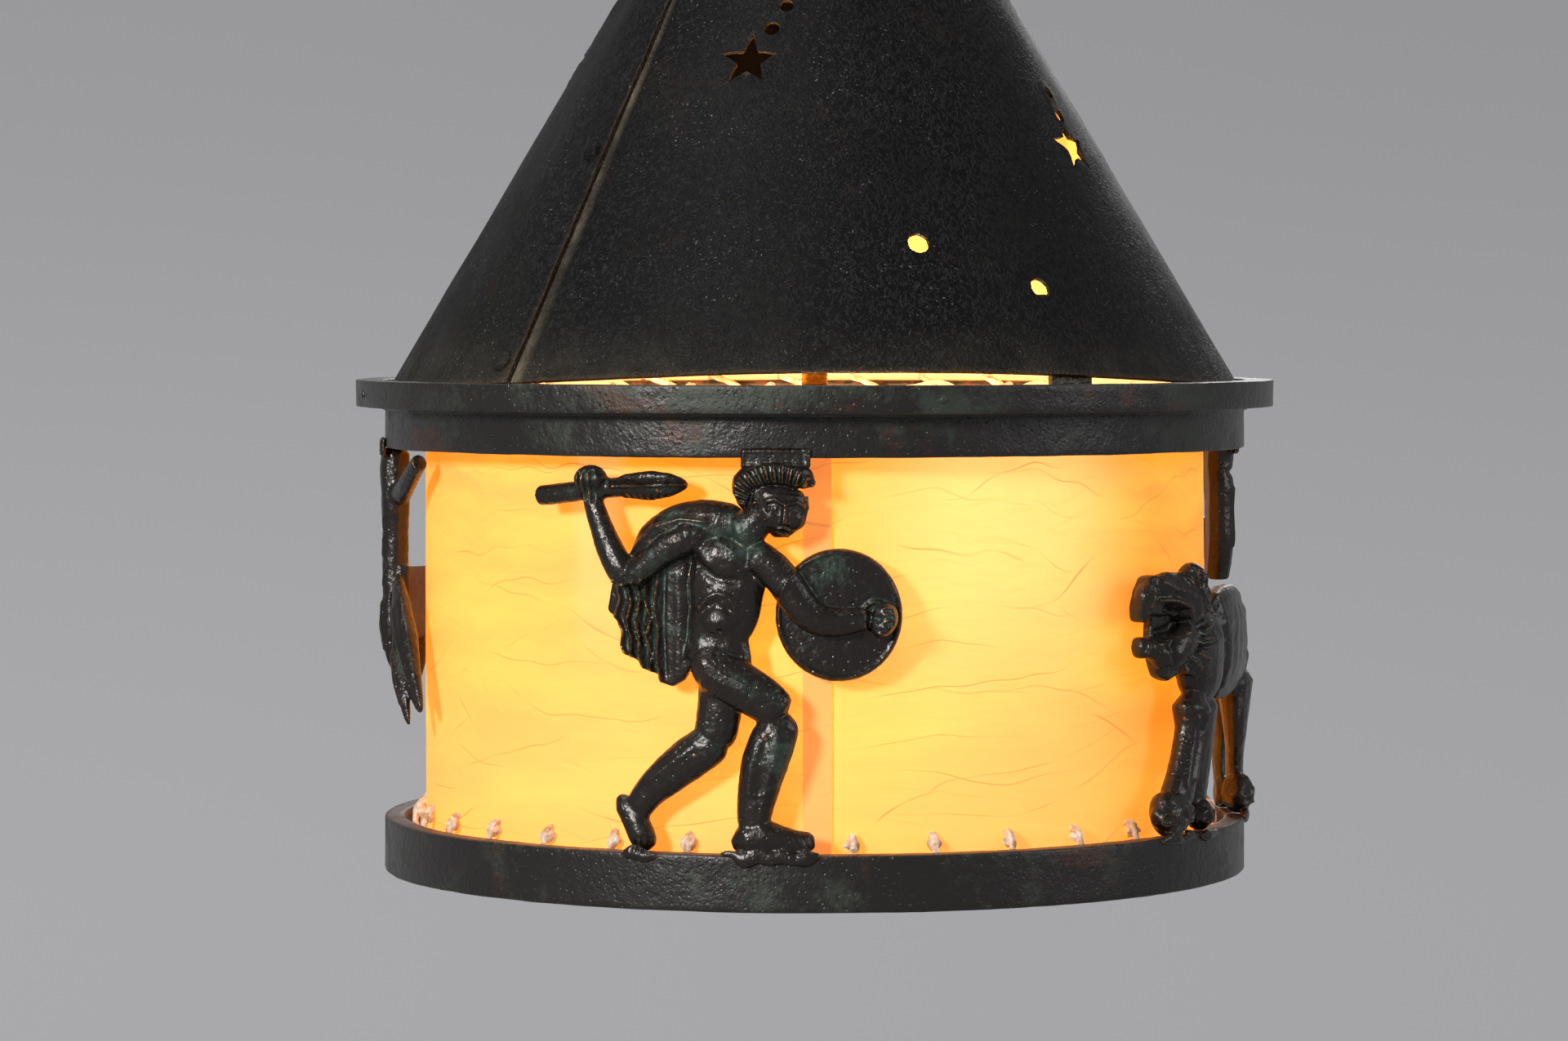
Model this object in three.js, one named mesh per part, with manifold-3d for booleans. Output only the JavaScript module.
// Hanging lantern: a conical sheet hood, pierced with stars, stands on a drum of cast rings and relief
// figures round a laced parchment shade with one lamp inside.
// Millimetres, +Z up, the front faces -Y. The origin is the point where a ceiling hook bears inside the
// suspension ring. An azimuth is in degrees from the front (-Y) towards +X.
import * as THREE from 'three';
import { mergeVertices } from 'three/addons/utils/BufferGeometryUtils.js';
import Module from 'manifold-3d';

const wasm = await Module();
wasm.setup();

// Running and seating clearance between neighbouring pieces
const seatGap = 0.3;
// Cutters run this far past the faces that they open
const cutPast = 2;

// Drum rings
const drumRadius = 160;
const ringWall = 7.5;
const lowerRingHeight = 20;
const figureOpening = 136.5;
const bandHeight = 23;
const flangeOverhang = 11;
const flangeHeight = 9.8;
const flangeRimRise = 2;
const ringSegments = 48;

// Radial pins that hold the flange ring on the band
const pinCount = 4;
const pinRadius = 1.5;
const pinHeadStand = 0.5;
const pinFirstAzimuth = 15;

// Hood: a rolled sheet with a riveted lap, seated on the band inside the flange rim
const hoodRimClearance = 0.8;
const hoodHalfAngle = 30.3;
const hoodTopRadius = 20;
const hoodWall = 1.5;
const hoodSeamAzimuth = -43.3;
const hoodLapAngle = 12;
const hoodRampAngle = 16;
const hoodLift = 6.5;
const hoodLiftAzimuth = 8;
const hoodLiftHalfWidth = 82;
const hoodLiftHeight = 45;
const hoodColumns = 34;

// Seam rivets
const rivetCount = 3;
const rivetPitch = 87;
const rivetFirstRise = 10;
const rivetEdgeDistance = 6.5;
const rivetHeadRadius = 4;
const rivetHeadHeight = 1.6;
const rivetShankRadius = 1.7;
const rivetTailRadius = 3;
const rivetTailHeight = 1.1;
const rivetCrownShare = 0.72;
const rivetSides = 8;

// Pierced ornament of the hood: rises are above the hood's lower edge
const starRadius = 9.4;
const starInnerShare = 0.42;
const stars = [
  { azimuth: -15.3, rise: 116.7, trail: 3, drift: 4.6 },
  { azimuth: 61.6, rise: 86.9, trail: 2, drift: 1.6 },
  { azimuth: 132, rise: 112.2, trail: 3, drift: 4 },
  { azimuth: -158, rise: 90.2, trail: 2, drift: -3 },
  { azimuth: -88, rise: 118.7, trail: 2, drift: 3 },
];
const trailFirstRadius = 2.9;
const trailShrink = 0.36;
const trailFirstRise = 11.6;
const trailPitch = 8.3;
const moonRadius = 3.9;
const moons = [
  { azimuth: 16.5, rise: 50.8 },
  { azimuth: 35.5, rise: 35.2 },
  { azimuth: 104, rise: 46.2 },
  { azimuth: 171, rise: 56.2 },
  { azimuth: -112, rise: 44.2 },
];

// Straps that join the hood to the band
const strapCount = 4;
const strapFirstAzimuth = 36.5;
const strapWidth = 18;
const strapThickness = 2;
const strapFootDrop = 20;
const strapReach = 33;
const strapScrewRadius = 1.5;
const strapScrewHeadRadius = 2.6;
const strapScrewHeadHeight = 1.4;
const strapScrewDepth = 5;
const strapScrewRise = 4.5;

// Parchment shade, its hoops and lacing
const shadeClearance = 2.8;
const shadeWall = 0.8;
const shadeSeamAzimuth = 2.3;
const shadeLapAngle = 3.9;
const shadeRampAngle = 5.5;
const shadeBottomDrop = 3.6;
const shadeTopDrop = 3.5;
const shadeColumns = 36;
const hoopRadius = 1.5;
const laceRadius = 0.9;
const laceHoopGap = 0.48;
const laceHoleGap = 0.45;
const laceHoleStretch = 1.2;
const laceHoleShift = 0.45;
const stitchCount = 32;
const stitchFirstAzimuth = 5.2;
const stitchReach = 4.2;
const stitchHalfHeight = 6.9;
const stitchStepsPerCurl = 8;
const laceSides = 4;
const hoopSegments = 40;
const hoopSides = 4;

// Lugs inside the lower ring that carry the shade
const lugCount = 4;
const lugFirstStitch = 3;
const lugWidth = 10;
const lugThickness = 3;
const lugOverlap = 4;

// Crown, stem and suspension
const capWall = 1.2;
const capSkirt = 16;
const capTopInset = 5;
const stemRadius = 5;
const stemBore = 3.5;
const threadGap = 0.3;
const nutRadius = 9.8;
const nutHeight = 6;
const clampWasherHeight = 5;
const clampWasherDrop = 3;
const eyeBossRadius = 7;
const eyeBossHeight = 12;
const eyeBossShare = 0.7;
const eyeNeckStand = 1.5;
const eyeWireRadius = 2.5;
const eyeInnerRadius = 7;
const ringWireRadius = 2.5;
const suspensionRadius = 17;

// Lamp: holder on the end of the stem and a bulb screwed up into it
const holderDrop = 1.5;
const holderShellRadius = 17.5;
const holderShellWall = 1.4;
const holderShellHeight = 40;
const holderCapHeight = 14;
const holderCapWall = 2;
const holderCapShare = 0.55;
const holderCapNeck = 3;
const holderCollarRadius = 22;
const holderCollarHeight = 5;
const holderCollarRise = 3;
const insulatorHeight = 10;
const insulatorDrop = 2;
const bulbCapRadius = 13.2;
const bulbCapHeight = 25;
const bulbCapWall = 0.8;
const bulbWall = 0.8;
const bulbRadius = 30;
const bulbLength = 105;
const bulbNeckFlare = 2;
const bulbNeckInsert = 6;
const bulbSteps = 6;
const contactHeight = 2.5;
const contactRadius = 3;
const bulbContactRadius = 4.5;
const lampFacets = 12;

// Relief figures: the back stands inside the rings' inner wall, the front proud of their outer wall.
// They are drawn in units of their own, and this many units of height fill the opening.
const figureInset = 1.5;
const figureDrawnUnits = 136.5;
const figureProud = 4;
const figureTabStand = 1.6;
const figureTabLap = 3.7;
const limbSides = 5;
const figureFacets = 32;
const discSides = 12;
const discCentre = 0.5;
const discRimShare = 0.75;
const discDomeShare = 0.55;
const tipReach = 0.62;
const tipShrink = 0.66;
const limbDeepest = 7.5;

// Sizes and heights that follow from those above; heights are from the lower edge of the drum
const ringInner = drumRadius - ringWall;
const flangeRadius = drumRadius + flangeOverhang;
const shadeMiddle = ringInner - shadeClearance - laceRadius - stitchReach;
const shadeRadius = shadeMiddle + shadeWall / 2;
const figureBackRadius = ringInner - figureInset;
const figureScale = figureOpening / figureDrawnUnits;
const hoodStep = hoodWall + seatGap;
const hoodBaseRadius = drumRadius - hoodRimClearance - hoodStep;
const figureFoot = lowerRingHeight + seatGap;
const bandBottom = lowerRingHeight + figureOpening;
const figureHead = bandBottom - seatGap;
const bandTop = bandBottom + bandHeight;
const flangeTop = bandTop + flangeRimRise;
const shadeBottom = lowerRingHeight - shadeBottomDrop;
const shadeTop = bandTop - shadeTopDrop;
const holderTop = bandTop - holderDrop;
const hoodBottom = bandTop + seatGap;
const hoodSlope = Math.tan(THREE.MathUtils.degToRad(hoodHalfAngle));
const hoodApex = hoodBottom + hoodBaseRadius / hoodSlope;
const hoodTop = hoodApex - hoodTopRadius / hoodSlope;
const capTopRadius = hoodTopRadius - capTopInset;
const capTop = hoodApex - (capTopRadius - capWall - seatGap) / hoodSlope + capWall;
const nutTop = capTop + seatGap + nutHeight;
const eyeBossBottom = nutTop + seatGap;
const eyeCentreHeight = eyeBossBottom + eyeBossHeight + eyeInnerRadius + eyeWireRadius;
const swingHeight = eyeCentreHeight + eyeInnerRadius - seatGap - ringWireRadius;
const suspensionCentre = swingHeight + suspensionRadius;
const hangHeight = suspensionCentre + suspensionRadius - ringWireRadius;
const strapFoot = bandTop - strapFootDrop;
const strapScrewHeight = strapFoot + strapScrewRise;
const lugTop = shadeBottom - seatGap - 2 * hoopRadius - seatGap;

const bronze = { color: 0x1f1f1b, roughness: 0.55, metalness: 0.85 };
const hoodBronze = { color: 0x1b1b1a, roughness: 0.62, metalness: 0.8 };
const brass = { color: 0x8a6f38, roughness: 0.4, metalness: 1 };
const parchment = { color: 0xf7c869, roughness: 0.75, metalness: 0 };
const gut = { color: 0xdccbb0, roughness: 0.7, metalness: 0 };
const iron = { color: 0x3a3833, roughness: 0.6, metalness: 0.9 };
const ceramic = { color: 0xe9e4da, roughness: 0.35, metalness: 0 };
const glass = { color: 0xfff1cf, roughness: 0.2, metalness: 0 };

const radians = THREE.MathUtils.degToRad;

// Least radius of a round wall that is drawn with this many facets
const facetRadius = (radius, facets) => radius * Math.cos(Math.PI / facets);

// Makes a named mesh with a material of its own
function piece(name, geometry, finish) {
  const mesh = new THREE.Mesh(geometry, new THREE.MeshStandardMaterial(finish));
  mesh.name = name;
  return mesh;
}

// Solid for joining and cutting from a closed geometry
function toSolid(geometry) {
  const bare = geometry.clone();
  bare.deleteAttribute('normal');
  bare.deleteAttribute('uv');
  const merged = mergeVertices(bare, 1e-4);
  return new wasm.Manifold(new wasm.Mesh({
    numProp: 3,
    vertProperties: new Float32Array(merged.attributes.position.array),
    triVerts: new Uint32Array(merged.index.array),
  }));
}

function toGeometry(solid) {
  const mesh = solid.getMesh();
  const geometry = new THREE.BufferGeometry();
  geometry.setAttribute('position', new THREE.BufferAttribute(new Float32Array(mesh.vertProperties), 3));
  geometry.setIndex(new THREE.BufferAttribute(new Uint32Array(mesh.triVerts), 1));
  return geometry;
}

const union = (solids) => solids.reduce((whole, next) => whole.add(next));

// Turns a closed profile of [radius, height] points round the Z axis; outer side listed upwards
function turned(profile, segments = ringSegments) {
  const points = [...profile, profile[0]].map(([radius, height]) => new THREE.Vector2(radius, height));
  return new THREE.LatheGeometry(points, segments).rotateX(Math.PI / 2);
}

// Turns an open profile that starts and ends on the axis
function turnedShut(profile, segments) {
  const points = profile.map(([radius, height]) => new THREE.Vector2(radius, height));
  return new THREE.LatheGeometry(points, segments).rotateX(Math.PI / 2);
}

function annulus(innerRadius, outerRadius, bottom, top, segments = ringSegments) {
  const profile = [[innerRadius, bottom], [outerRadius, bottom], [outerRadius, top], [innerRadius, top]];
  return turned(profile, segments);
}

// Directions at an azimuth: outwards, along the round, and the mix of outwards and up at a wall's tilt
function directions(azimuth, tilt = 0) {
  const angle = radians(azimuth);
  const outward = new THREE.Vector3(Math.sin(angle), -Math.cos(angle), 0);
  const along = new THREE.Vector3(Math.cos(angle), Math.sin(angle), 0);
  const up = new THREE.Vector3(0, 0, 1);
  const lean = radians(tilt);
  const normal = outward.clone().multiplyScalar(Math.cos(lean)).addScaledVector(up, Math.sin(lean));
  const slant = up.clone().multiplyScalar(Math.cos(lean)).addScaledVector(outward, -Math.sin(lean));
  return { along, slant, normal };
}

// Places a geometry modelled about the origin, Z out of the wall, at an azimuth, radius and height
function onWall(geometry, azimuth, radius, height, tilt = 0) {
  const { along, slant, normal } = directions(azimuth, tilt);
  const seat = directions(azimuth).normal.multiplyScalar(radius).setZ(height);
  const matrix = new THREE.Matrix4().makeBasis(along, slant, normal).setPosition(seat);
  return geometry.applyMatrix4(matrix);
}

// Rod along Z from one height to another
function rod(radius, from, to, sides = 8) {
  return turnedShut([[0, from], [radius, from], [radius, to], [0, to]], sides);
}

// Closed skin from rings of equal point count: flat at both ends, or joined from last ring to first
function lofted(rings, endless = false) {
  const sides = rings[0].length;
  const positions = rings.flat().flatMap((point) => [point.x, point.y, point.z]);
  const faces = [];
  const spans = endless ? rings.length : rings.length - 1;
  for (let ring = 0; ring < spans; ring += 1) {
    const onward = (ring + 1) % rings.length;
    for (let side = 0; side < sides; side += 1) {
      const next = (side + 1) % sides;
      const [a, b] = [ring * sides + side, ring * sides + next];
      const [c, d] = [onward * sides + next, onward * sides + side];
      faces.push(a, b, c, a, c, d);
    }
  }
  const last = (rings.length - 1) * sides;
  for (let side = 1; side + 1 < sides && !endless; side += 1) {
    faces.push(0, side + 1, side);
    faces.push(last, last + side, last + side + 1);
  }
  const geometry = new THREE.BufferGeometry();
  geometry.setAttribute('position', new THREE.Float32BufferAttribute(positions, 3));
  geometry.setIndex(faces);
  return geometry;
}

// Round tube along a list of points, its section carried along without twist
function tube(points, radius, sides) {
  const rings = [];
  let across = new THREE.Vector3(0, 0, 1);
  points.forEach((point, index) => {
    const before = points[Math.max(index - 1, 0)];
    const after = points[Math.min(index + 1, points.length - 1)];
    const tangent = after.clone().sub(before).normalize();
    if (Math.abs(across.dot(tangent)) > 0.95) across = new THREE.Vector3(1, 0, 0);
    across = across.clone().addScaledVector(tangent, -across.dot(tangent)).normalize();
    const third = tangent.clone().cross(across);
    const ring = [];
    for (let side = 0; side < sides; side += 1) {
      const turn = (2 * Math.PI * side) / sides;
      ring.push(point.clone()
        .addScaledVector(across, radius * Math.cos(turn))
        .addScaledVector(third, radius * Math.sin(turn)));
    }
    rings.push(ring);
  });
  return lofted(rings);
}

// Torus about the Z axis
function hoop(radius, wireRadius, segments, sides) {
  const profile = [];
  for (let side = 0; side < sides; side += 1) {
    const turn = (2 * Math.PI * side) / sides;
    profile.push([radius + wireRadius * Math.cos(turn), wireRadius * Math.sin(turn)]);
  }
  return turned(profile, segments);
}

// Sheet rolled into a cone or cylinder with its outer edge lapped over its inner edge. Rows give height
// and outer radius; lap and ramp are angles, so that every edge follows the slope. The edge function
// moves a row's points up, and they stay on the slope.
function rolledSheet({ rows, slope = 0, wall, seamAzimuth, lapAngle, rampAngle, columns, edge }) {
  const lapSteps = 2;
  const rampSteps = 3;
  const step = wall + seatGap;
  const lap = radians(lapAngle);
  const ramp = radians(rampAngle);
  const grid = rows.map(({ height, radius }, row) => {
    const turns = [];
    for (let i = 0; i < lapSteps; i += 1) turns.push([(lap * i) / lapSteps, step]);
    for (let i = 0; i <= rampSteps; i += 1) {
      const share = i / rampSteps;
      turns.push([lap + ramp * share, step * (0.5 + 0.5 * Math.cos(Math.PI * share))]);
    }
    const plainStart = lap + ramp;
    for (let i = 1; i <= columns; i += 1) {
      turns.push([plainStart + ((2 * Math.PI - plainStart) * i) / columns, 0]);
    }
    for (let i = 1; i <= lapSteps; i += 1) turns.push([2 * Math.PI + (lap * i) / lapSteps, 0]);
    return turns.map(([turn, offset]) => {
      const azimuth = seamAzimuth - THREE.MathUtils.radToDeg(turn);
      const z = edge ? edge(row, azimuth, height) : height;
      const outward = directions(azimuth).normal;
      const drop = (height - z) * slope;
      const outer = outward.clone().multiplyScalar(radius + offset + drop).setZ(z);
      const inner = outward.clone().multiplyScalar(radius + offset + drop - wall).setZ(z);
      return { outer, inner };
    });
  });
  const width = grid[0].length;
  const height = grid.length;
  const positions = [];
  for (const side of ['outer', 'inner']) {
    for (const row of grid) for (const column of row) positions.push(...column[side].toArray());
  }
  const outer = (row, column) => row * width + column;
  const inner = (row, column) => outer(row, column) + width * height;
  const faces = [];
  const quad = (a, b, c, d) => faces.push(a, b, c, a, c, d);
  for (let row = 0; row + 1 < height; row += 1) {
    for (let column = 0; column + 1 < width; column += 1) {
      const [above, beside] = [row + 1, column + 1];
      quad(outer(row, column), outer(above, column), outer(above, beside), outer(row, beside));
      quad(inner(row, column), inner(row, beside), inner(above, beside), inner(above, column));
    }
    quad(outer(row, 0), inner(row, 0), inner(row + 1, 0), outer(row + 1, 0));
    const end = width - 1;
    quad(outer(row, end), outer(row + 1, end), inner(row + 1, end), inner(row, end));
  }
  for (let column = 0; column + 1 < width; column += 1) {
    const top = height - 1;
    quad(outer(0, column), outer(0, column + 1), inner(0, column + 1), inner(0, column));
    quad(outer(top, column), inner(top, column), inner(top, column + 1), outer(top, column + 1));
  }
  const geometry = new THREE.BufferGeometry();
  geometry.setAttribute('position', new THREE.Float32BufferAttribute(positions, 3));
  geometry.setIndex(faces);
  return geometry;
}

const evenAzimuths = (count, first) => Array.from({ length: count }, (_, i) => first + (360 * i) / count);
const hoodRadiusAt = (height) => (hoodApex - height) * hoodSlope;

function starShape() {
  const shape = new THREE.Shape();
  const corners = 10;
  for (let corner = 0; corner < corners; corner += 1) {
    const reach = corner % 2 ? starRadius * starInnerShare : starRadius;
    const turn = Math.PI / 2 + (2 * Math.PI * corner) / corners;
    const point = [reach * Math.cos(turn), reach * Math.sin(turn)];
    if (corner) shape.lineTo(...point);
    else shape.moveTo(...point);
  }
  shape.closePath();
  return shape;
}

// Punches for the stars, their trails of round holes, the moons and the rivets
function hoodPunches() {
  const reach = 4 * hoodWall;
  const punches = [];
  const punch = (geometry, azimuth, rise) => {
    const height = hoodBottom + rise;
    punches.push(toSolid(onWall(geometry, azimuth, hoodRadiusAt(height), height, hoodHalfAngle)));
  };
  for (const star of stars) {
    const blank = new THREE.ExtrudeGeometry(starShape(), { depth: 2 * reach, bevelEnabled: false });
    punch(blank.translate(0, 0, -reach), star.azimuth, star.rise);
    for (let dot = 0; dot < star.trail; dot += 1) {
      const rise = trailFirstRise + trailPitch * dot;
      const azimuth = star.azimuth + (star.drift * rise) / trailFirstRise;
      punch(rod(trailFirstRadius - trailShrink * dot, -reach, reach, 5), azimuth, star.rise + rise);
    }
  }
  for (const moon of moons) punch(rod(moonRadius, -reach, reach, 6), moon.azimuth, moon.rise);
  for (const rivet of seamRivets()) {
    const hole = rod(rivetShankRadius + seatGap, -reach, reach, rivetSides);
    punch(hole, rivet.azimuth, rivet.height - hoodBottom);
  }
  return union(punches);
}

// Seam rivets stand at one distance from the lap's edge and one pitch apart up the slope
function seamRivets() {
  const lean = Math.cos(radians(hoodHalfAngle));
  return Array.from({ length: rivetCount }, (_, index) => {
    const height = hoodBottom + (rivetFirstRise + rivetPitch * index) * lean;
    const radius = hoodRadiusAt(height);
    const azimuth = hoodSeamAzimuth - THREE.MathUtils.radToDeg(rivetEdgeDistance / radius);
    return { height, radius, azimuth };
  });
}

function makeHood() {
  const rows = [
    { height: hoodBottom, radius: hoodBaseRadius },
    { height: hoodBottom + hoodLiftHeight, radius: hoodRadiusAt(hoodBottom + hoodLiftHeight) },
    { height: hoodTop, radius: hoodTopRadius },
  ];
  const edge = (row, azimuth, height) => {
    const turn = THREE.MathUtils.euclideanModulo(azimuth - hoodLiftAzimuth + 180, 360) - 180;
    if (row > 0 || Math.abs(turn) > hoodLiftHalfWidth) return height;
    return height + hoodLift * Math.cos((Math.PI / 2) * (turn / hoodLiftHalfWidth)) ** 2;
  };
  const sheet = rolledSheet({
    rows,
    slope: hoodSlope,
    wall: hoodWall,
    seamAzimuth: hoodSeamAzimuth,
    lapAngle: hoodLapAngle,
    rampAngle: hoodRampAngle,
    columns: hoodColumns,
    edge,
  });
  return piece('hood', toGeometry(toSolid(sheet).subtract(hoodPunches())), hoodBronze);
}

function makeSeamRivets() {
  const outerFace = hoodWall + 2 * seatGap;
  const innerFace = -hoodWall / Math.cos(radians(hoodHalfAngle)) - seatGap;
  return seamRivets().map((rivet, index) => {
    const geometry = turnedShut([
      [0, innerFace - rivetTailHeight],
      [rivetTailRadius, innerFace - rivetTailHeight],
      [rivetTailRadius, innerFace],
      [rivetShankRadius, innerFace],
      [rivetShankRadius, outerFace],
      [rivetHeadRadius, outerFace],
      [rivetHeadRadius * rivetCrownShare, outerFace + rivetHeadHeight * rivetCrownShare],
      [0, outerFace + rivetHeadHeight],
    ], rivetSides);
    onWall(geometry, rivet.azimuth, rivet.radius, rivet.height, hoodHalfAngle);
    return piece(`seam_rivet_${index + 1}`, geometry, hoodBronze);
  });
}

function makeRings() {
  const pinHeight = flangeTop - flangeHeight / 2;
  const pinAzimuths = evenAzimuths(pinCount, pinFirstAzimuth);
  const pinHoles = union(pinAzimuths.map((azimuth) => {
    const hole = rod(pinRadius + seatGap, ringInner - ringWall, flangeRadius + ringWall, 6);
    return toSolid(onWall(hole, azimuth, 0, pinHeight));
  }));
  const screwHoles = union(evenAzimuths(strapCount, strapFirstAzimuth).map((azimuth) => {
    const blindEnd = ringInner + strapScrewDepth + seatGap;
    const hole = rod(strapScrewRadius + seatGap, ringInner - ringWall, blindEnd, 6);
    return toSolid(onWall(hole, azimuth, 0, strapScrewHeight));
  }));
  const lowerRing = annulus(ringInner, drumRadius, 0, lowerRingHeight);
  const bandBlank = toSolid(annulus(ringInner, drumRadius, bandBottom, bandTop));
  const band = bandBlank.subtract(pinHoles).subtract(screwHoles);
  const flangeBottom = flangeTop - flangeHeight;
  const flangeInner = drumRadius + seatGap;
  const flange = toSolid(annulus(flangeInner, flangeRadius, flangeBottom, flangeTop)).subtract(pinHoles);
  const pins = pinAzimuths.map((azimuth, index) => {
    const pin = rod(pinRadius, ringInner + seatGap, flangeRadius + pinHeadStand, 6);
    return piece(`flange_pin_${index + 1}`, onWall(pin, azimuth, 0, pinHeight), bronze);
  });
  return [
    piece('lower_ring', lowerRing, bronze),
    piece('upper_band', toGeometry(band), bronze),
    piece('flange_ring', toGeometry(flange), bronze),
    ...pins,
  ];
}

// Strap bent to follow the band's inner wall and then the slope of the hood
function makeStraps() {
  const flatness = (radius) => radius - Math.sqrt(radius ** 2 - (strapWidth / 2) ** 2);
  const bandWall = facetRadius(ringInner, ringSegments);
  const lower = bandWall - flatness(bandWall) - seatGap;
  const upperHeight = hoodBottom + strapReach;
  const upperWall = facetRadius(hoodRadiusAt(upperHeight), hoodColumns) - hoodStep;
  const upper = upperWall - flatness(upperWall);
  const bendWall = facetRadius(hoodBaseRadius, hoodColumns) - hoodStep;
  const bend = Math.min(lower, bendWall - flatness(bendWall));
  const bendHeight = hoodBottom + (bendWall - flatness(bendWall) - bend) / hoodSlope;
  const profile = [
    [lower - strapThickness, strapFoot], [lower, strapFoot], [bend, bendHeight], [upper, upperHeight],
    [upper - strapThickness, upperHeight], [bend - strapThickness, bendHeight],
  ];
  const shape = new THREE.Shape(profile.map(([radius, height]) => new THREE.Vector2(radius, height)));
  return evenAzimuths(strapCount, strapFirstAzimuth).flatMap((azimuth, index) => {
    const blank = new THREE.ExtrudeGeometry(shape, { depth: strapWidth, bevelEnabled: false });
    blank.translate(0, 0, -strapWidth / 2);
    const { along, slant, normal } = directions(azimuth);
    blank.applyMatrix4(new THREE.Matrix4().makeBasis(normal, slant, along.clone().negate()));
    const drill = rod(strapScrewRadius + seatGap, lower - strapThickness - cutPast, ringInner, 6);
    const hole = onWall(drill, azimuth, 0, strapScrewHeight);
    const head = lower - strapThickness - seatGap;
    const screw = turnedShut([
      [0, head - strapScrewHeadHeight],
      [strapScrewHeadRadius, head - strapScrewHeadHeight],
      [strapScrewHeadRadius, head],
      [strapScrewRadius, head],
      [strapScrewRadius, ringInner + strapScrewDepth],
      [0, ringInner + strapScrewDepth],
    ], 6);
    return [
      piece(`hood_strap_${index + 1}`, toGeometry(toSolid(blank).subtract(toSolid(hole))), bronze),
      piece(`strap_screw_${index + 1}`, onWall(screw, azimuth, 0, strapScrewHeight), brass),
    ];
  });
}

// Lacing: one thong whipped round a hoop and through the parchment. Side is 1 at the foot of the
// shade and -1 at its head. The thong goes up outside, in through a hole, and slants on inside.
function lacingPoints(hoopHeight, side) {
  const reachDown = stitchHalfHeight * Math.cos(Math.PI / stitchStepsPerCurl);
  const middle = hoopHeight + side * (reachDown - hoopRadius - laceRadius - laceHoopGap);
  const pitch = 360 / stitchCount;
  const travel = [0, 0, 0, 1 / 3, 2 / 3, 1, 1, 1];
  const points = [];
  for (let stitch = 0; stitch + 1 < stitchCount; stitch += 1) {
    for (let step = 0; step < stitchStepsPerCurl; step += 1) {
      const turn = (2 * Math.PI * (step + 0.5)) / stitchStepsPerCurl;
      const azimuth = stitchFirstAzimuth + pitch * (stitch + travel[step]);
      const radius = shadeMiddle + stitchReach * Math.cos(turn);
      const point = directions(azimuth).normal.multiplyScalar(radius);
      points.push(point.setZ(middle + side * stitchHalfHeight * Math.sin(turn)));
    }
  }
  return points;
}

// Least clear distance between stretches of one tube that aren't neighbours along it
function leastSelfGap(points, radius) {
  const samples = [];
  let along = 0;
  for (let i = 0; i + 1 < points.length; i += 1) {
    const run = points[i].distanceTo(points[i + 1]);
    for (const share of [0, 0.25, 0.5, 0.75]) {
      samples.push({ at: points[i].clone().lerp(points[i + 1], share), along: along + share * run });
    }
    along += run;
  }
  let least = Infinity;
  for (let i = 0; i < samples.length; i += 1) {
    for (let j = i + 1; j < samples.length; j += 1) {
      if (samples[j].along - samples[i].along < 8 * radius) continue;
      least = Math.min(least, samples[i].at.distanceTo(samples[j].at) - 2 * radius);
    }
  }
  return least;
}

// Hole that a stitch goes through, taller than wide because the thong turns there
function laceHole(azimuth, height) {
  const width = 2 * (laceRadius + laceHoleGap);
  const punch = new THREE.BoxGeometry(width, width * laceHoleStretch, 2 * (shadeWall + cutPast));
  return toSolid(onWall(punch, azimuth, shadeMiddle, height));
}

function makeShade() {
  const parts = [];
  const holes = [];
  const ends = [
    { name: 'bottom', edge: shadeBottom, side: 1 },
    { name: 'top', edge: shadeTop, side: -1 },
  ];
  for (const { name, edge, side } of ends) {
    const hoopHeight = edge - side * (seatGap + hoopRadius);
    const wire = hoop(shadeMiddle, hoopRadius, hoopSegments, hoopSides).translate(0, 0, hoopHeight);
    parts.push(piece(`shade_hoop_${name}`, wire, iron));
    const points = lacingPoints(hoopHeight, side);
    parts.push(piece(`lacing_${name}`, tube(points, laceRadius, laceSides), gut));
    console.log(`lacing_${name}: least gap to itself ${leastSelfGap(points, laceRadius).toFixed(2)} mm`);
    const holeHeight = points[1].z - side * laceHoleShift;
    const azimuths = evenAzimuths(stitchCount, stitchFirstAzimuth);
    holes.push(...azimuths.map((azimuth) => laceHole(azimuth, holeHeight)));
  }
  const sheet = rolledSheet({
    rows: [{ height: shadeBottom, radius: shadeRadius }, { height: shadeTop, radius: shadeRadius }],
    wall: shadeWall,
    seamAzimuth: shadeSeamAzimuth,
    lapAngle: shadeLapAngle,
    rampAngle: shadeRampAngle,
    columns: shadeColumns,
  });
  parts.push(piece('parchment_shade', toGeometry(toSolid(sheet).subtract(union(holes))), parchment));
  return parts;
}

// Each lug reaches under the hoop midway between two stitches
function makeLugs() {
  const outer = facetRadius(ringInner, ringSegments) - seatGap;
  const stitchPitch = 360 / stitchCount;
  return Array.from({ length: lugCount }, (_, index) => {
    const stitch = lugFirstStitch + Math.round((stitchCount * index) / lugCount) + 0.5;
    const azimuth = stitchFirstAzimuth + stitchPitch * stitch;
    const wallEnd = Math.sqrt(outer ** 2 - (lugWidth / 2) ** 2);
    const reach = wallEnd - (shadeMiddle - lugOverlap);
    const lug = new THREE.BoxGeometry(lugWidth, lugThickness, reach);
    onWall(lug, azimuth, wallEnd - reach / 2, lugTop - lugThickness / 2);
    return piece(`shade_lug_${index + 1}`, lug, bronze);
  });
}

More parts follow.
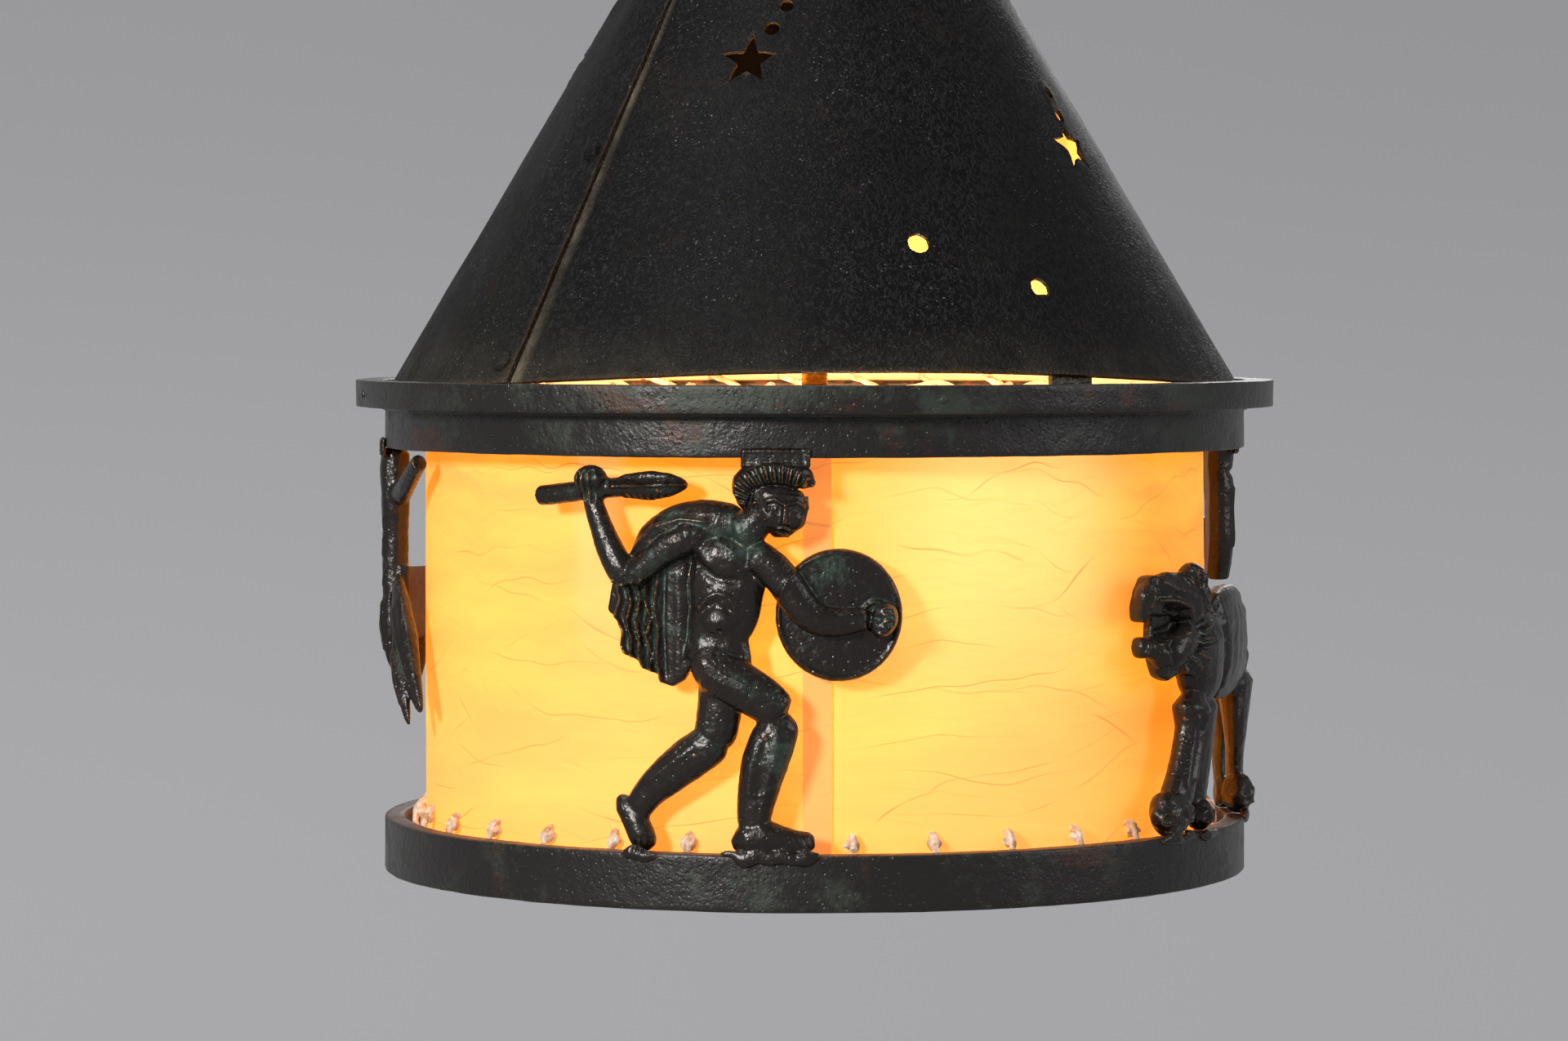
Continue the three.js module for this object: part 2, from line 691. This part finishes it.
function makeCrown() {
  const fit = seatGap / Math.cos(radians(hoodHalfAngle));
  const skirtBottom = hoodTop - capSkirt;
  const skirtInner = hoodRadiusAt(skirtBottom) + hoodStep + fit;
  const rimInner = hoodTopRadius + hoodStep + fit;
  const rimHeight = hoodTop + seatGap;
  const bore = stemRadius + threadGap;
  const cap = turned([
    [skirtInner, skirtBottom], [skirtInner + capWall, skirtBottom], [rimInner + capWall, rimHeight],
    [capTopRadius, capTop], [bore, capTop], [bore, capTop - capWall],
    [capTopRadius - capWall, capTop - capWall], [rimInner, rimHeight],
  ], 32);
  const washerTop = hoodTop - clampWasherDrop;
  const washerBottom = washerTop - clampWasherHeight;
  const washerFit = hoodWall / Math.cos(radians(hoodHalfAngle)) + fit;
  const washer = turned([
    [bore, washerBottom], [hoodRadiusAt(washerBottom) - washerFit, washerBottom],
    [hoodRadiusAt(washerTop) - washerFit, washerTop], [bore, washerTop],
  ], 20);
  const nut = (bottom) => {
    const hexagon = toSolid(rod(nutRadius, bottom, bottom + nutHeight, 6));
    const hole = toSolid(rod(bore, bottom - cutPast, bottom + nutHeight + cutPast, 12));
    return toGeometry(hexagon.subtract(hole));
  };
  const stemTop = eyeBossBottom + eyeBossHeight - eyeWireRadius;
  const stemBottom = holderTop - holderCapHeight / 2;
  const eyeLoop = hoop(eyeInnerRadius + eyeWireRadius, eyeWireRadius, 16, 6).rotateX(Math.PI / 2);
  eyeLoop.translate(0, 0, eyeCentreHeight);
  const neckHeight = eyeBossBottom + eyeBossHeight + eyeWireRadius;
  const boss = turnedShut([
    [0, stemTop + seatGap], [bore, stemTop + seatGap], [bore, eyeBossBottom], [eyeBossRadius, eyeBossBottom],
    [eyeBossRadius, eyeBossBottom + eyeBossShare * eyeBossHeight], [eyeWireRadius + eyeNeckStand, neckHeight],
    [0, neckHeight],
  ], 12);
  return [
    piece('hood_cap', cap, hoodBronze),
    piece('clamp_washer', washer, brass),
    piece('lock_nut_top', nut(capTop + seatGap), bronze),
    piece('lock_nut_inner', nut(washerBottom - seatGap - nutHeight), brass),
    piece('stem', annulus(stemBore, stemRadius, stemBottom, stemTop, 12), brass),
    piece('hanger_eye', toGeometry(toSolid(eyeLoop).add(toSolid(boss))), bronze),
  ];
}

// Wall of the bulb as a closed profile: a globe that runs into a neck, which stands in the bulb's cap
function bulbProfile(contactTip, capBottom) {
  const neck = bulbCapRadius - bulbCapWall - seatGap;
  const globe = contactTip - bulbLength + bulbRadius;
  const lastTurn = Math.acos((neck + bulbNeckFlare) / bulbRadius);
  const outside = Array.from({ length: bulbSteps + 1 }, (_, step) => {
    const turn = -Math.PI / 2 + ((lastTurn + Math.PI / 2) * step) / bulbSteps;
    return [step ? bulbRadius * Math.cos(turn) : 0, globe + bulbRadius * Math.sin(turn)];
  });
  outside.push([neck, capBottom - bulbNeckFlare], [neck, capBottom + bulbNeckInsert]);
  const inside = outside.map(([radius, height]) => {
    const poleShare = Math.min(Math.max((globe + bulbRadius - height) / bulbRadius, 0), 1);
    return [Math.max(radius - bulbWall, 0), height + (radius < neck ? bulbWall * poleShare : 0)];
  });
  return [...outside, ...inside.reverse()];
}

function makeLamp() {
  const shellTop = holderTop - holderCapHeight;
  const shellBottom = shellTop - holderShellHeight;
  const shellInner = holderShellRadius - holderShellWall;
  const bore = stemRadius + threadGap;
  const stemEnd = holderTop - holderCapHeight / 2;
  const cap = turned([
    [bore, stemEnd + seatGap], [shellInner - 2 * holderCapWall, stemEnd - holderCapWall],
    [shellInner, shellTop + seatGap], [holderShellRadius, shellTop + seatGap],
    [holderShellRadius - holderCapWall, shellTop + holderCapShare * holderCapHeight],
    [bore + holderCapNeck, holderTop], [bore, holderTop],
  ], lampFacets);
  const shell = annulus(shellInner, holderShellRadius, shellBottom, shellTop, lampFacets);
  const collarBottom = shellBottom + holderCollarRise;
  const collarTop = collarBottom + holderCollarHeight;
  const collarInner = holderShellRadius + seatGap;
  const collar = annulus(collarInner, holderCollarRadius, collarBottom, collarTop, lampFacets);
  const insulatorTop = shellTop - insulatorDrop;
  const insulatorBottom = insulatorTop - insulatorHeight;
  const springTip = insulatorBottom - contactHeight;
  const insulator = turnedShut([
    [0, springTip], [contactRadius, springTip], [contactRadius, insulatorBottom],
    [shellInner - seatGap, insulatorBottom], [shellInner - seatGap, insulatorTop], [0, insulatorTop],
  ], lampFacets);
  const contactTip = springTip - seatGap;
  const capTopHeight = contactTip - contactHeight;
  const capBottom = contactTip - bulbCapHeight;
  const roof = capTopHeight - bulbCapWall;
  const bulbCap = turnedShut([
    [0, roof - bulbCapWall], [bulbCapRadius - bulbCapWall, roof - bulbCapWall],
    [bulbCapRadius - bulbCapWall, capBottom], [bulbCapRadius, capBottom], [bulbCapRadius, roof],
    [bulbContactRadius, capTopHeight], [bulbContactRadius, contactTip], [0, contactTip],
  ], lampFacets);
  return [
    piece('holder_cap', cap, brass),
    piece('holder_shell', shell, brass),
    piece('holder_collar', collar, brass),
    piece('holder_insulator', insulator, ceramic),
    piece('bulb_cap', bulbCap, brass),
    piece('bulb_glass', turnedShut(bulbProfile(contactTip, capBottom), lampFacets), glass),
  ];
}

// Maps a point of a figure, flat as drawn, onto the drum: along the round, height, and depth off the back
function bent(along, height, depth, azimuth) {
  const place = azimuth + THREE.MathUtils.radToDeg((along * figureScale) / drumRadius);
  const radius = figureBackRadius + depth * figureScale;
  return directions(place).normal.multiplyScalar(radius).setZ(figureFoot + height * figureScale);
}

// Limb of a figure: stations give place along the round, height, half width and, if flatter, half depth.
// Tips names the ends that stand free and are rounded off; the others are buried in the figure.
function limb(stations, depth, azimuth, tips) {
  const full = stations.map(([along, height, half, thick = Math.min(half, limbDeepest)]) => (
    { along, height, half, thick }
  ));
  const [first, second] = full;
  const [last, previous] = [full.at(-1), full.at(-2)];
  const domed = (tip, neighbour) => {
    const run = Math.hypot(tip.along - neighbour.along, tip.height - neighbour.height);
    const reach = (tipReach * tip.half) / run;
    return {
      along: tip.along + (tip.along - neighbour.along) * reach,
      height: tip.height + (tip.height - neighbour.height) * reach,
      half: tipShrink * tip.half,
      thick: tipShrink * tip.thick,
    };
  };
  const path = [...full];
  if (tips.includes('first')) path.unshift(domed(first, second));
  if (tips.includes('last')) path.push(domed(last, previous));
  const rings = path.map((station, index) => {
    const before = path[Math.max(index - 1, 0)];
    const after = path[Math.min(index + 1, path.length - 1)];
    const run = Math.hypot(after.along - before.along, after.height - before.height);
    const acrossAlong = (before.height - after.height) / run;
    const acrossUp = (after.along - before.along) / run;
    return Array.from({ length: limbSides }, (_, side) => {
      const turn = Math.PI / 2 + (2 * Math.PI * side) / limbSides;
      const width = station.half * Math.cos(turn);
      return bent(
        station.along + acrossAlong * width,
        station.height + acrossUp * width,
        depth + station.thick * Math.sin(turn),
        azimuth,
      );
    });
  });
  return toSolid(lofted(rings));
}

// Round plate of a figure, slightly domed, or a thick ring if it has a hole
function disc(along, height, radius, thickness, azimuth, hole = 0) {
  const rim = (reach, depth) => Array.from({ length: discSides }, (_, side) => {
    const turn = (2 * Math.PI * side) / discSides;
    return bent(along + reach * Math.cos(turn), height + reach * Math.sin(turn), depth, azimuth);
  });
  const inner = Math.max(hole, discCentre);
  const dome = discDomeShare * radius + (1 - discDomeShare) * inner;
  const rings = [
    rim(inner, -1), rim(radius, -1), rim(radius, discRimShare * thickness), rim(dome, thickness),
    rim(inner, thickness),
  ];
  return toSolid(lofted(rings, hole > 0));
}

// Block between two places along the round and two heights
function block(from, to, bottom, top, depth, azimuth) {
  const steps = 4;
  const rings = Array.from({ length: steps + 1 }, (_, step) => {
    const along = from + ((to - from) * step) / steps;
    return [[bottom, -1], [top, -1], [top, depth], [bottom, depth]]
      .map(([height, deep]) => bent(along, height, deep, azimuth));
  });
  return toSolid(lofted(rings));
}

// Trims a joined figure to the drum's opening and gives it the plate that laps over the band
function castFigure(name, solids, tab, azimuth) {
  const front = drumRadius + figureProud;
  const bandFace = drumRadius + seatGap;
  const room = annulus(figureBackRadius, front, figureFoot, figureHead, figureFacets);
  const trimmed = union(solids).intersect(toSolid(room));
  const tabBottom = (figureHead - figureFoot - figureTabLap) / figureScale;
  const tabTop = (figureOpening + figureTabLap) / figureScale;
  const tabDepth = (bandFace - figureBackRadius + figureTabStand) / figureScale;
  const plate = block(tab.from, tab.to, tabBottom, tabTop, tabDepth, azimuth);
  const behindBand = annulus(ringInner - ringWall, bandFace, figureHead, bandTop);
  const tall = annulus(figureBackRadius, front, figureFoot, bandTop, figureFacets);
  const figure = trimmed.add(plate.subtract(toSolid(behindBand)).intersect(toSolid(tall)));
  return piece(name, toGeometry(figure), bronze);
}

// Spearman striding to the right with a round shield, spear raised behind the head
function spearman(name, azimuth) {
  const part = (depth, stations, tips = '') => limb(stations, depth, azimuth, tips);
  const solids = [
    part(2.5, [[15, 111, 8, 6], [11.5, 101, 15, 7.5], [9.5, 85, 14.4], [6.4, 75, 11.5], [7.8, 66, 13]]),
    part(1.5, [[16, 113.5, 6], [0, 113, 8.2, 6.5], [-20, 106.5, 6.5, 5]], 'last'),
    part(4.5, [[-3.9, 107.5, 5.5], [-23.5, 96, 5]], 'last'),
    part(4, [[-24.8, 94.5, 4.8], [-33, 105.5, 4.1], [-40.4, 126, 3.3]]),
    part(4.5, [[-41.5, 125.5, 5.2], [-39.5, 128, 5.2]], 'last'),
    part(3, [[-64.4, 122.5, 3.3], [-30, 125.9, 3.2]]),
    part(3, [[-30, 126, 3.2], [-19, 126.6, 4.9], [-4, 127.1, 0.8]]),
    part(1.5, [[-30, 94, 4], [-32, 84, 3.6]]),
    part(1.5, [[-24.5, 94, 4.4], [-24.5, 71.5, 4.2]]),
    part(1.5, [[-16.5, 96, 4.6], [-17, 66, 4.4]]),
    part(1.5, [[-8, 98, 5.4], [-9, 63.5, 5]]),
    part(3.2, [[3, 66.5, 8.5], [11.7, 60.5, 8.4], [23.2, 53.7, 7.6], [30.5, 48.3, 6.6]], 'last'),
    part(2.8, [[29.8, 45.8, 7.2], [26, 37.9, 8.2], [22.6, 25.5, 7.7], [19.8, 7, 5.6]]),
    part(3.5, [[15, 3.6, 4], [22, 4, 4.6], [39, 3, 3.2]], 'firstlast'),
    part(1.2, [[7, 62, 8], [7.8, 52.6, 7.8], [6.1, 41.3, 7.4]], 'last'),
    part(1.2, [[5, 38.2, 7.2], [-3.9, 31.8, 6.9], [-11.9, 26, 6.4], [-23.5, 14.5, 4.9]]),
    part(1.5, [[-29.5, 18, 2.6], [-24, 13, 4.6], [-20, 0.5, 4.4]], 'first'),
    part(3.5, [[16, 111, 6.5], [21, 115, 5.6], [25, 119, 5.2]]),
    part(3, [[29.3, 113.5, 6.4], [29.2, 120, 9], [28.8, 126, 8]], 'first'),
    part(4.5, [[18.4, 126, 3.6], [22, 129.6, 3.8], [30, 131.6, 4], [43.5, 129.8, 1.8]]),
    block(19.5, 38, 129, figureDrawnUnits, 9, azimuth),
    disc(50.7, 82.3, 22.8, 4, azimuth),
    part(5, [[26, 100, 6], [35.5, 88, 5.7], [42.1, 81.4, 5.3], [57.1, 81, 4]]),
    part(5, [[61.5, 81.1, 4.8], [66, 81.1, 4.6]], 'last'),
  ];
  return castFigure(name, solids, { from: 16.5, to: 40.5 }, azimuth);
}

// Lion facing left with open jaws; its tail makes a loop and rises to the band
function lion(name, azimuth) {
  const part = (depth, stations, tips = '') => limb(stations, depth, azimuth, tips);
  const solids = [
    part(3, [[-30, 54, 20, 9], [10, 55, 16, 9], [38, 50, 14, 8.5], [62, 52, 17, 8.5]], 'last'),
    part(4, [[-38, 52, 20, 9], [-46, 68, 19, 9], [-50, 80, 14, 8.5]], 'last'),
    part(4.5, [[-50, 81, 12, 8], [-63, 84.5, 9.5], [-79, 80, 4]], 'last'),
    part(4, [[-54, 70, 9], [-65, 65, 6.5], [-75, 68, 3.6]], 'last'),
    part(5, [[-58, 88, 3.8], [-56.5, 93, 2.4]], 'last'),
    part(3, [[-44, 89, 3.8], [-42.5, 93, 2.4]], 'last'),
    part(4, [[-44, 46, 11], [-49, 30, 8.2], [-54, 9, 7]]),
    part(4.5, [[-56, 4.8, 6], [-70, 4.2, 5]], 'last'),
    part(2.5, [[-28, 45, 11], [-29, 28, 8], [-30, 8, 6.6]]),
    part(3.5, [[-31, 4.6, 5.6], [-44, 4.2, 4.8]], 'last'),
    part(3.5, [[60, 46, 14, 8], [54, 34, 10.5], [63, 21, 6.4], [58, 7, 5.6]]),
    part(4, [[58, 4.4, 5.4], [45, 4, 4.6]], 'last'),
    part(2, [[42, 43, 12], [33, 32, 8.5], [39, 20, 6], [34, 6, 5.4]]),
    part(3, [[34, 4.2, 5.2], [22, 3.9, 4.4]], 'last'),
    part(3, [[72, 54, 7], [79, 66, 5], [77, 80, 4.8]]),
    disc(66, 87, 13, 7, azimuth, 4.4),
    part(3.5, [[73, 90, 5.4], [72, 106, 4.8], [74, 134, 5.2]]),
  ];
  return castFigure(name, solids, { from: 66, to: 82 }, azimuth);
}

// Tree whose pruned bough reaches forward under the band and ends in long hanging leaves
function tree(name, azimuth) {
  const part = (depth, stations, tips = '') => limb(stations, depth, azimuth, tips);
  const leaf = (along, top, lean, length) => part(2.5, [
    [along, top, 2, 2.5], [along + 0.4 * lean, top - 0.45 * length, 5.6, 3.2],
    [along + lean, top - length, 1.2, 2],
  ]);
  const spray = (along, height, reach, rise) => part(2.5, [
    [along, height, 2, 2.5], [along + 0.5 * reach, height + 0.5 * rise, 5, 3],
    [along + reach, height + rise, 1, 2],
  ]);
  const solids = [
    part(3.5, [[-50, 2, 10, 8], [-48, 30, 8], [-50, 60, 8], [-46, 85, 7.5], [-48, 110, 7.2], [-50, 134, 8]]),
    part(3.5, [[-47, 72, 7], [-25, 70, 6.4], [0, 74, 6], [25, 76, 5.6], [46, 78, 5], [55, 74, 4.6]]),
    part(4.5, [[54, 66, 4.4], [55, 85, 4.6], [54, 105, 4.6], [56, 122, 5], [55, 134, 5.4]]),
    part(4, [[57, 127, 3.6], [66, 125, 3.2], [72, 128.5, 2.2]]),
    leaf(52, 84, 13, 38),
    leaf(47, 80, 6, 28),
    leaf(33, 78, 4, 27),
    leaf(14, 76, 4, 26),
    leaf(-6, 74, 2, 25),
    leaf(-24, 72, 3, 24),
    spray(20, 76, -12, 12),
    spray(-10, 73, -14, 13),
    part(3, [[-50, 100, 4.4], [-60, 112, 3.4], [-64, 122, 2.6]], 'last'),
    spray(-64, 121, -10, 12),
    spray(-61, 112, -13, -2),
    spray(-55, 104, -14, -6),
    spray(-46, 112, 14, 8),
    spray(-47, 101, 14, -3),
    spray(-52, 56, -15, 4),
  ];
  return castFigure(name, solids, { from: 47, to: 63 }, azimuth);
}

function makeSuspensionRing() {
  const wire = hoop(suspensionRadius, ringWireRadius, 20, 6).rotateY(Math.PI / 2);
  return piece('suspension_ring', wire.translate(0, 0, suspensionCentre), bronze);
}

const drum = new THREE.Group();
drum.add(...makeRings(), ...makeLugs(), ...makeShade());
drum.add(spearman('spearman_front', -15), spearman('spearman_rear', 166));
drum.add(lion('lion', 78), tree('tree', -104));

const roof = new THREE.Group();
roof.add(makeHood(), ...makeSeamRivets(), ...makeStraps(), ...makeCrown());

const lamp = new THREE.Group();
lamp.add(...makeLamp());

const lantern = new THREE.Group();
lantern.add(makeSuspensionRing(), drum, roof, lamp);
lantern.position.z = -hangHeight;

const group = new THREE.Group();
group.add(lantern);
group.updateMatrixWorld(true);

export default group;
